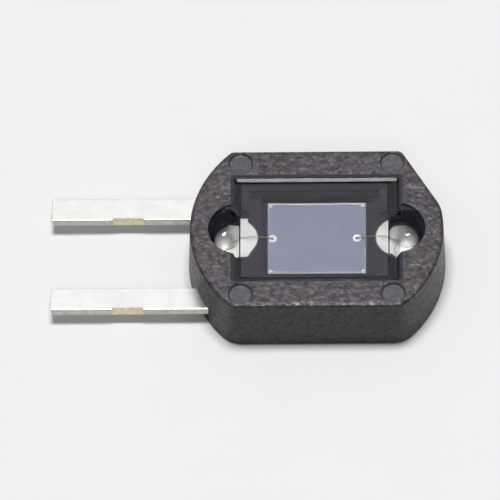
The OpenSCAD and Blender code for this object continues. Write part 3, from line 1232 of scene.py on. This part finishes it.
@dataclass
class ChipStack:
    """Silicon chip on its adhesive, with its contact metal."""

    levels: Levels
    length: float = 2.29
    width: float = 2.0
    corner: float = 0.006
    edge: Spot = (0.003, 0.004)
    lip: float = 0.04
    lip_corner: float = 0.02
    lip_end: float = 0.004
    fillet: Steps = ((1.0, 0.0), (0.95, 0.006), (0.6, 0.014))
    frame_w: float = 0.06
    frame_end_w: float = 0.035
    frame_corner: float = 0.02
    frame_over: float = 0.1
    bar_inset: Spot = (0.02, 0.014)
    bar_corner: float = 0.01
    bar_proud: float = 0.001
    spot_d: float = 0.1
    spot_inset: float = 0.06
    bond_d: float = 0.21
    bond_edge: float = 0.004
    cathode_x: float = -1.04
    anode_x: float = 0.945

    @property
    def size(self) -> Spot:
        """Length and width of the chip."""
        return self.length, self.width

    def adhesive(self) -> None:
        """Adhesive with a fillet that creeps out around the chip."""
        lv = self.levels
        steps = [(self.lip * share, lv.floor + up) for share, up in self.fillet]
        steps.append((self.lip_end, lv.chip_low))
        rings = box_rings(self.size, steps, self.lip_corner)
        obj = as_object("die_attach_bead", lofted(rings), ADHESIVE)
        even_normals(obj)
        hand_over(obj, "die_attach")

    def chip(self) -> None:
        """Sawn chip with a coated top face."""
        lv, (inset, drop) = self.levels, self.edge
        steps = [(0.0, lv.chip_low), (0.0, lv.chip_high - drop), (-inset, lv.chip_high)]
        rings = box_rings(self.size, steps, self.corner, chords=2)
        obj = as_object("chip_coated", lofted(rings), SAWN_SILICON)
        repaint(obj, COATING, lambda at, normal: normal.z > FACING)
        even_normals(obj)
        hand_over(obj, "chip")

    def spots_tree(self) -> Tree:
        """Geometry nodes that put round spots on the corners of a rectangle.

        Returns:
            A tree with the spot size, film thickness, rectangle and finish as inputs.
        """
        inputs = {
            "Geometry": "Geometry", "Spot radius": "Float", "Film": "Float", "Reach": "Vector",
            "Finish": "Material",
        }
        sheet, start = NodeSheet.group(
            "contact_spots", "GeometryNodeTree", inputs, {"Geometry": "Geometry"}
        )
        reach = sheet.add("ShaderNodeSeparateXYZ", start["Reach"]).outputs
        sides = {"Size_X": reach["X"], "Size_Y": reach["Y"]}
        grid = sheet.add("GeometryNodeMeshGrid", Vertices_X=2, Vertices_Y=2, **sides).outputs["Mesh"]
        lift = sheet.add("ShaderNodeCombineXYZ", Z=reach["Z"]).outputs["Vector"]
        move = sheet.add("GeometryNodeTransform", Geometry=grid, Translation=lift).outputs["Geometry"]
        sizes = {"Radius": start["Spot radius"], "Depth": start["Film"]}
        disc = sheet.add("GeometryNodeMeshCylinder", Vertices=32, **sizes).outputs["Mesh"]
        copies = sheet.add("GeometryNodeInstanceOnPoints", Points=move, Instance=disc)
        return sheet.close(copies.outputs["Instances"], start["Finish"])

    def corner_spots(self) -> Piece:
        """The four spots at the chip's corners.

        Returns:
            The spots, baked to a mesh.
        """
        lv, inset = self.levels, 2 * self.spot_inset
        film = lv.film - lv.chip_high
        values = {
            "Spot radius": self.spot_d / 2,
            "Film": film,
            "Reach": (self.length - inset, self.width - inset, lv.chip_high + film / 2),
            "Finish": BOND_FILM.material(),
        }
        return grow(as_object("corner_spots", bmesh.new()), self.spots_tree(), values)

    def bond_spot(self, name: str, x: float) -> Piece:
        """Round bond spot with a soft rim.

        Args:
            name: name of the object.
            x: its middle.

        Returns:
            The spot.
        """
        lv, r, soft = self.levels, self.bond_d / 2, self.bond_edge
        steps = [(r, lv.chip_high), (r, lv.film - soft), (r - soft, lv.film)]
        return as_object(name, turned(steps, (x, 0), count=48), BOND_FILM)

    def rear_bar(self) -> Piece:
        """The brighter bar of the contact frame along the chip's +Y edge.

        Returns:
            The bar.
        """
        lv, w, inset = self.levels, self.frame_w, self.bar_inset
        steps = [(0.0, lv.chip_high), (0.0, lv.film + self.bar_proud)]
        size, at = (self.length - inset[0], w - inset[1]), (0, (self.width - w) / 2)
        return as_object("rear_bar", lofted(box_rings(size, steps, self.bar_corner, at, 3)), BAR_FILM)

    def cathode(self) -> None:
        """Contact frame along the chip's edges, with its spots."""
        low, high, over = self.levels.chip_high, self.levels.film, self.frame_over
        outer = box_rings(self.size, [(0.0, low), (0.0, high)], self.corner, chords=2)
        obj = as_object("cathode_contact_film", lofted(outer), THIN_FILM)
        within = (self.length - 2 * self.frame_end_w, self.width - 2 * self.frame_w)
        steps = [(0.0, low - over), (0.0, high + over)]
        room = lofted(box_rings(within, steps, self.frame_corner, chords=3))
        combine(obj, as_object("frame_room", room, THIN_FILM), Join.CUT)
        combine(obj, self.rear_bar(), Join.ADD)
        combine(obj, self.bond_spot("bond_spot", self.cathode_x), Join.ADD)
        combine(obj, self.corner_spots(), Join.ADD)
        even_normals(obj)
        hand_over(obj, "cathode_contact")

    def anode(self) -> None:
        """Round contact spot inside the sensitive area."""
        obj = self.bond_spot("anode_contact_film", self.anode_x)
        even_normals(obj)
        hand_over(obj, "anode_contact")

    def build(self) -> None:
        """All pieces of the stack."""
        for make in (self.adhesive, self.chip, self.cathode, self.anode):
            make()


@dataclass
class BondWires:
    """Two fine wires from the chip to the bond pads.

    The profiles of the ball and the foot are shares of their own sizes.
    """

    levels: Levels
    wire_d: float = 0.022
    ball_d: float = 0.085
    ball_h: float = 0.04
    ball: Steps = ((0.72, 0.0), (0.93, 0.18), (1.0, 0.45), (0.93, 0.72), (0.6, 0.94), (0.34, 1.0))
    foot_size: Point = (0.11, 0.06, 0.024)
    foot: tuple[Point, ...] = ((1.0, 1.0, 0.0), (1.0, 0.95, 0.4), (0.8, 0.72, 0.8), (0.55, 0.45, 1.0))
    foot_corner: float = 0.4
    foot_x: float = 1.89
    rise: float = 0.10

    def tree(self) -> Tree:
        """Geometry nodes that sweep a wire along an arc and join it with its ball and foot.

        Returns:
            A tree with the arc's points, the wire radius and the finish as inputs.
        """
        name = "looped_wire"
        if name in bpy.data.node_groups:
            return bpy.data.node_groups[name]
        inputs = {"Geometry": "Geometry", "Start": "Vector", "Crest": "Vector", "End": "Vector"}
        inputs |= {"Radius": "Float", "Finish": "Material"}
        sheet, start = NodeSheet.group(name, "GeometryNodeTree", inputs, {"Geometry": "Geometry"})
        points = {"Start": start["Start"], "Middle": start["Crest"], "End": start["End"]}
        path = sheet.add("GeometryNodeCurveArc", mode="POINTS", Resolution=40, **points)
        section = sheet.add("GeometryNodeCurvePrimitiveCircle", Resolution=16, Radius=start["Radius"])
        curves = {"Curve": path.outputs["Curve"], "Profile_Curve": section.outputs["Curve"]}
        tube = sheet.add("GeometryNodeCurveToMesh", Fill_Caps=True, **curves)
        union = sheet.add("GeometryNodeMeshBoolean", operation="UNION", solver="EXACT")
        for solid in (tube.outputs["Mesh"], start["Geometry"]):
            sheet.feed(solid, union.inputs["Mesh 2"])
        return sheet.close(union.outputs["Mesh"], start["Finish"])

    def ends(self, ball_x: float, side: int) -> Solid:
        """Squashed ball on the chip and flattened foot on the pad.

        Args:
            ball_x: place of the ball.
            side: +1 where the wire runs toward +X, -1 toward -X.

        Returns:
            Both as one mesh.
        """
        lv, r = self.levels, self.ball_d / 2
        bm = turned([(r * k, lv.film + self.ball_h * z) for k, z in self.ball], (ball_x, 0), 32)
        length, width, thick = self.foot_size
        rings = []
        for a, b, z in self.foot:
            size, corner = (length * a, width * b), self.foot_corner * width * b
            outline = rounded_rectangle(size, corner, (side * self.foot_x, 0))
            rings.append(ring(outline, lv.pad + thick * z))
        wedge = lofted(rings)
        mesh = bpy.data.meshes.new("wedge")
        wedge.to_mesh(mesh)
        wedge.free()
        bm.from_mesh(mesh)
        bpy.data.meshes.remove(mesh)
        return bm

    def wire(self, name: str, ball_x: float, side: int) -> None:
        """One wire, in place of its CAD node.

        Args:
            name: that node.
            ball_x: place of its ball.
            side: +1 where it runs toward +X, -1 toward -X.
        """
        lv = self.levels
        first = Vector((ball_x, 0.0, lv.film + self.ball_h / 2))
        last = Vector((side * self.foot_x, 0.0, lv.pad + self.wire_d / 2))
        span = last - first
        up = Vector((-span.z, 0.0, span.x)).normalized() * side
        crest = (first + last) / 2 + up * self.rise
        values = {
            "Start": tuple(first), "Crest": tuple(crest), "End": tuple(last),
            "Radius": self.wire_d / 2, "Finish": FINE_WIRE.material(),
        }
        obj = grow(as_object(f"{name}_loop", self.ends(ball_x, side)), self.tree(), values)
        even_normals(obj, sharp_above=50.0)
        hand_over(obj, name)

    def build(self, stack: ChipStack) -> None:
        """Both wires."""
        self.wire("cathode_wire", stack.cathode_x, -1)
        self.wire("anode_wire", stack.anode_x, 1)


@dataclass
class WindowAndResin:
    """Clear window and the resin that it is bedded in.

    A climb is the reach and the height of the resin where it wets an upright wall. A dish is the
    middle of its floor, its radius and its stretch along Y.
    """

    levels: Levels
    housing: Housing
    low_x: float = -1.81
    high_x: float = 1.70
    low_y: float = -1.38
    high_y: float = 1.24
    corner: float = 0.02
    edge_chamfer: Point = (0.028, 0.008, 0.02)
    low_level: float = 1.449
    wall_climb: Spot = (0.065, 0.051)
    edge_climb: Spot = (0.135, 0.056)
    front_level: float = 1.498
    dishes: tuple[tuple[Point, float, float], ...] = (
        ((-2.17, 0.0, 1.02), 0.42, 1.35), ((2.115, 0.0, 1.02), 0.475, 1.08),
    )
    dish_rise: float = 4.0
    soft_rim: float = 0.02
    lap: float = 0.006
    grid: float = 0.02
    margin: Spot = (0.12, 0.1)
    ceiling: float = 0.3
    over: float = 0.1
    bed_margin: float = 0.05
    edge_chamfer_lean: Spot = (0.2, 0.95)
    side_touch: float = 0.004
    side_lean: float = 0.2
    corner_slack: float = 0.001
    corner_lean: float = 0.05
    sole_touch: float = 0.002

    def pane(self, grow_x: float, grow_y: float) -> list[Spot]:
        """Outline of the window, grown by one distance at its ends and one along its sides.

        Args:
            grow_x: distance at the ends.
            grow_y: distance along the sides.

        Returns:
            The outline's points.
        """
        middle = ((self.low_x + self.high_x) / 2, (self.low_y + self.high_y) / 2)
        size = (self.high_x - self.low_x + 2 * grow_x, self.high_y - self.low_y + 2 * grow_y)
        return rounded_rectangle(size, self.corner, middle, chords=3)

    def window(self) -> Piece:
        """Window with chamfered top edges painted dark as shade; its bedded faces carry the bonded
        finish.

        Returns:
            The window, still in millimetres.
        """
        lv, (end, side, drop) = self.levels, self.edge_chamfer
        sole, front = self.pane(0.0, 0.0), self.front_level
        slope = (self.low_level + self.edge_climb[1] - front) / (self.high_y - self.low_y)
        rings = [
            ring(sole, lv.ledge),
            [(x, y, front + slope * (y - self.low_y)) for x, y in sole],
            ring(sole, lv.window - drop),
            ring(self.pane(-end, -side), lv.window),
        ]
        obj = as_object("window_pane", lofted(rings), GLASS)
        bedded = (lv.ledge + lv.window) / 2 + self.bed_margin
        steepest, flattest = self.edge_chamfer_lean
        repaint(obj, BONDED, lambda at, normal: normal.z < -HALF_WAY or at.z < bedded)
        # The chamfers get the painted shade.
        repaint(obj, WINDOW_EDGE_PAINTED_SHADE, lambda at, normal: steepest < normal.z < flattest)
        even_normals(obj, sharp_above=20.0)
        return obj

    def free_surface(self) -> tuple[np.ndarray, np.ndarray, np.ndarray]:
        """Heights of the resin's open surface.

        The surface climbs the seat walls and the window's edge, and it is a round dish in each pocket.

        Returns:
            The X and Y places of the grid lines and the heights between them.
        """
        h, step = self.housing, self.grid
        half_x, half_y = h.seat[0] / 2, h.seat[1] / 2
        reach_x = h.pocket_x + h.pocket_radius + self.margin[0]
        xs = np.arange(-reach_x, reach_x + step, step)
        ys = np.arange(-half_y - self.margin[1], half_y + self.margin[1] + step, step)
        x, y = np.meshgrid(xs, ys, indexing="ij")
        beyond_x = np.maximum(np.maximum(self.low_x - x, x - self.high_x), 0.0)
        beyond_y = np.maximum(np.maximum(self.low_y - y, y - self.high_y), 0.0)
        from_edge = np.hypot(beyond_x, beyond_y)
        from_wall = np.minimum(half_x - h.seat_bevel - np.abs(x), half_y - h.seat_bevel - np.abs(y))
        heights = np.full_like(x, self.low_level)
        for away, (reach, climb) in ((from_wall, self.wall_climb), (from_edge, self.edge_climb)):
            heights += climb * np.clip(1.0 - away / reach, 0.0, 1.0)
        heights = np.minimum(heights, self.low_level + self.wall_climb[1])
        for (cx, cy, lowest), radius, stretch in self.dishes:
            away = np.hypot(x - cx, (y - cy) / stretch)
            dish = lowest + radius - np.sqrt(np.clip(radius**2 - away**2, 0.0, None))
            dish += self.dish_rise * np.clip(away - radius, 0.0, None)
            part = np.clip(0.5 + (heights - dish) / (2 * self.soft_rim), 0.0, 1.0)
            heights = heights * (1 - part) + dish * part - self.soft_rim * part * (1 - part)
        return xs, ys, heights

    def air(self) -> Piece:
        """Block of the air above the resin's open surface.

        Returns:
            The closed block.
        """
        xs, ys, heights = self.free_surface()
        bm = bmesh.new()
        ceiling = self.levels.top + self.ceiling
        rows = [
            [bm.verts.new((a, b, heights[i, j])) for j, b in enumerate(ys)] for i, a in enumerate(xs)
        ]
        for near, far in zip(rows, rows[1:]):
            for j in range(len(ys) - 1):
                bm.faces.new((near[j], near[j + 1], far[j + 1], far[j]))
        border = [row[0] for row in rows] + rows[-1][1:]
        border += [row[-1] for row in rows[-2::-1]] + rows[0][-2:0:-1]
        lid = [bm.verts.new((v.co.x, v.co.y, ceiling)) for v in border]
        for i in range(len(border)):
            j = (i + 1) % len(border)
            bm.faces.new((border[i], border[j], lid[j], lid[i]))
        bm.faces.new(lid)
        bmesh.ops.recalc_face_normals(bm, faces=bm.faces)
        return as_object("air", bm)

    def resin(self) -> Piece:
        """Resin that fills the room of the housing up to its open surface.

        Returns:
            The resin, still in millimetres.
        """
        h, lv, lap = self.housing, self.levels, self.lap
        draw, r = lap - h.seat_bevel, h.pocket_radius + lap
        seat = box_rings(h.seat, [(draw, lv.ledge - lap), (draw, lv.top)], h.seat_corner)
        body = as_object("resin_fill", lofted(seat))
        rooms = []
        for side in (-1, 1):
            rooms.append(turned([(r, lv.shelf - lap), (r, lv.top)], (side * h.pocket_x, 0)))
        for (length, width), at, low, high in (
            (h.opening, h.window_x, lv.shelf - lap, lv.ledge),
            (h.cavity, 0.0, lv.floor - lap, lv.shelf),
        ):
            size, steps = (length + 2 * lap, width + 2 * lap), [(0.0, low), (0.0, high)]
            rooms.append(lofted(box_rings(size, steps, h.room_corner, (at, 0))))
        for room in rooms:
            combine(body, as_object("room", room), Join.ADD)
        pane = self.pane(0.0, 0.0)
        cover = lofted([ring(pane, lv.ledge), ring(pane, lv.top + self.over)])
        combine(body, as_object("pane", cover), Join.CUT)
        combine(body, self.air(), Join.CUT, fast=True)
        paint(body, RESIN)
        repaint(body, BONDED, self.bedded)
        even_normals(body, sharp_above=25.0, weighted=False)
        return body

    def bedded(self, at: Vector, normal: Vector) -> bool:
        """Whether a face of the resin lies on the window.

        Args:
            at: middle of the face.
            normal: its normal.

        Returns:
            True for a bonded face.
        """
        off_x = min(abs(at.x - self.low_x), abs(at.x - self.high_x))
        off_y = min(abs(at.y - self.low_y), abs(at.y - self.high_y))
        steep, around = abs(normal.z), self.corner + self.corner_slack
        on_end = off_x < self.side_touch and self.low_y < at.y < self.high_y
        on_side = off_y < self.side_touch and self.low_x < at.x < self.high_x
        corner = max(off_x, off_y) < around and steep < self.corner_lean
        below = abs(at.z - self.levels.ledge) < self.sole_touch and normal.z > FACING
        return below or corner or (steep < self.side_lean and (on_end or on_side))

    def build(self) -> None:
        """Window and resin, in place of their CAD nodes."""
        hand_over(self.window(), "window_glass")
        hand_over(self.resin(), "potting_resin")


@dataclass
class Studio:
    """Floor, lights, backdrop and camera.

    A lamp is its name, its place, its size and its radiance.
    """

    levels: Levels
    azimuth: float = 1.33
    elevation: float = 55.5
    roll: float = 1.5
    distance: float = 235.0
    shift_right: float = -1.556
    shift_up: float = -0.521
    lens: float = 724.5
    sensor: float = 36.0
    clip: Spot = (0.01, 2.0)
    floor_half: float = 400.0
    floor_level: float = -0.002
    ambient: float = 0.17
    backdrop: float = 0.92
    dim: float = 0.1
    sky_lean: Point = (0.0, 0.6, 0.6)
    sky_range: Spot = (0.45, 0.8)
    lamps: tuple[tuple[str, Point, Spot, float], ...] = (
        ("overhead_softbox", (-10.0, 38.0, 430.0), (150.0, 78.0), 42.0),
        ("front_card", (-6.0, -300.0, 339.0), (90.0, 44.0), 8.4),
    )

    def floor(self) -> None:
        """Pale floor that carries the shadow."""
        bm = bmesh.new()
        bmesh.ops.create_grid(bm, x_segments=4, y_segments=4, size=self.floor_half)
        obj = as_object("floor", bm, FLOOR)
        obj.data.transform(Matrix.Scale(MM, 4) @ Matrix.Translation((0, 0, self.floor_level)))

    def world(self) -> None:
        """Pale room: dimmer toward the front and the horizon, and dimmer for light than for sight."""
        world = bpy.data.worlds.new("pale_room")
        bpy.context.scene.world = world
        world.use_nodes = True
        world.node_tree.nodes.clear()
        sheet = NodeSheet(world.node_tree)
        path = sheet.add("ShaderNodeLightPath").outputs
        seen = path[Ray.CAMERA.value]
        for ray in (Ray.GLOSSY, Ray.TRANSMISSION):
            seen = sheet.math("MAXIMUM", seen, path[ray.value])
        toward = sheet.add("ShaderNodeTexCoord").outputs["Generated"]
        lean = sheet.add("ShaderNodeVectorMath", toward, self.sky_lean, operation="DOT_PRODUCT")
        sky = sheet.span(lean.outputs["Value"], self.dim, self.backdrop, self.sky_range)
        strength = sheet.span(seen, self.ambient, sky)
        back = sheet.add("ShaderNodeBackground", Color=(1.0, 1.0, 1.0), Strength=strength)
        sheet.add("ShaderNodeOutputWorld", Surface=back.outputs["Background"])

    def light(self) -> None:
        """Soft area lamps, each with its radiance."""
        target = Vector((0.0, 0.0, self.levels.top / 2))
        for name, place, size, radiance in self.lamps:
            lamp = bpy.data.lights.new(name, "AREA")
            lamp.shape = "RECTANGLE"
            lamp.size, lamp.size_y = size[0] * MM, size[1] * MM
            lamp.energy = radiance * math.pi * lamp.size * lamp.size_y
            obj = bpy.data.objects.new(name, lamp)
            obj.location = Vector(place) * MM
            obj.rotation_euler = (target - Vector(place)).to_track_quat("-Z", "Y").to_euler()
            bpy.context.scene.collection.objects.link(obj)

    def camera(self) -> None:
        """Camera at the photograph's viewing angle."""
        a, e, t = (math.radians(v) for v in (self.azimuth, self.elevation, self.roll))
        back = Vector((math.sin(a) * math.cos(e), -math.cos(a) * math.cos(e), math.sin(e)))
        level = Vector((math.cos(a), math.sin(a), 0.0))
        steep = back.cross(level)
        right = level * math.cos(t) - steep * math.sin(t)
        up = level * math.sin(t) + steep * math.cos(t)
        target = Vector((0.0, 0.0, self.levels.top)) + right * self.shift_right + up * self.shift_up
        data = bpy.data.cameras.new("view")
        data.lens = self.lens
        data.sensor_width = self.sensor
        data.clip_start, data.clip_end = self.clip
        camera = bpy.data.objects.new("view", data)
        matrix = Matrix((right, up, back)).transposed().to_4x4()
        matrix.translation = (target + back * self.distance) * MM
        camera.matrix_world = matrix
        bpy.context.scene.collection.objects.link(camera)
        bpy.context.scene.camera = camera

    def build(self) -> None:
        """The whole studio."""
        bpy.context.scene.view_settings.view_transform = "Standard"
        for make in (self.floor, self.world, self.light, self.camera):
            make()


def main() -> None:
    """Builds the photodiode and its studio."""
    logging.basicConfig(level=logging.INFO, format="%(name)s %(message)s")
    levels = Levels()
    pair = LeadPair(levels)
    leads = {side: pair.build(side) for side in Side}
    housing = Housing(levels)
    hand_over(housing.build(leads.values()), "body")
    hand_over(leads[Side.CATHODE], "cathode_lead")
    hand_over(leads[Side.ANODE], "anode_lead")
    stack = ChipStack(levels)
    stack.build()
    BondWires(levels).build(stack)
    WindowAndResin(levels, housing).build()
    Studio(levels).build()


if __name__ == "__main__":
    main()
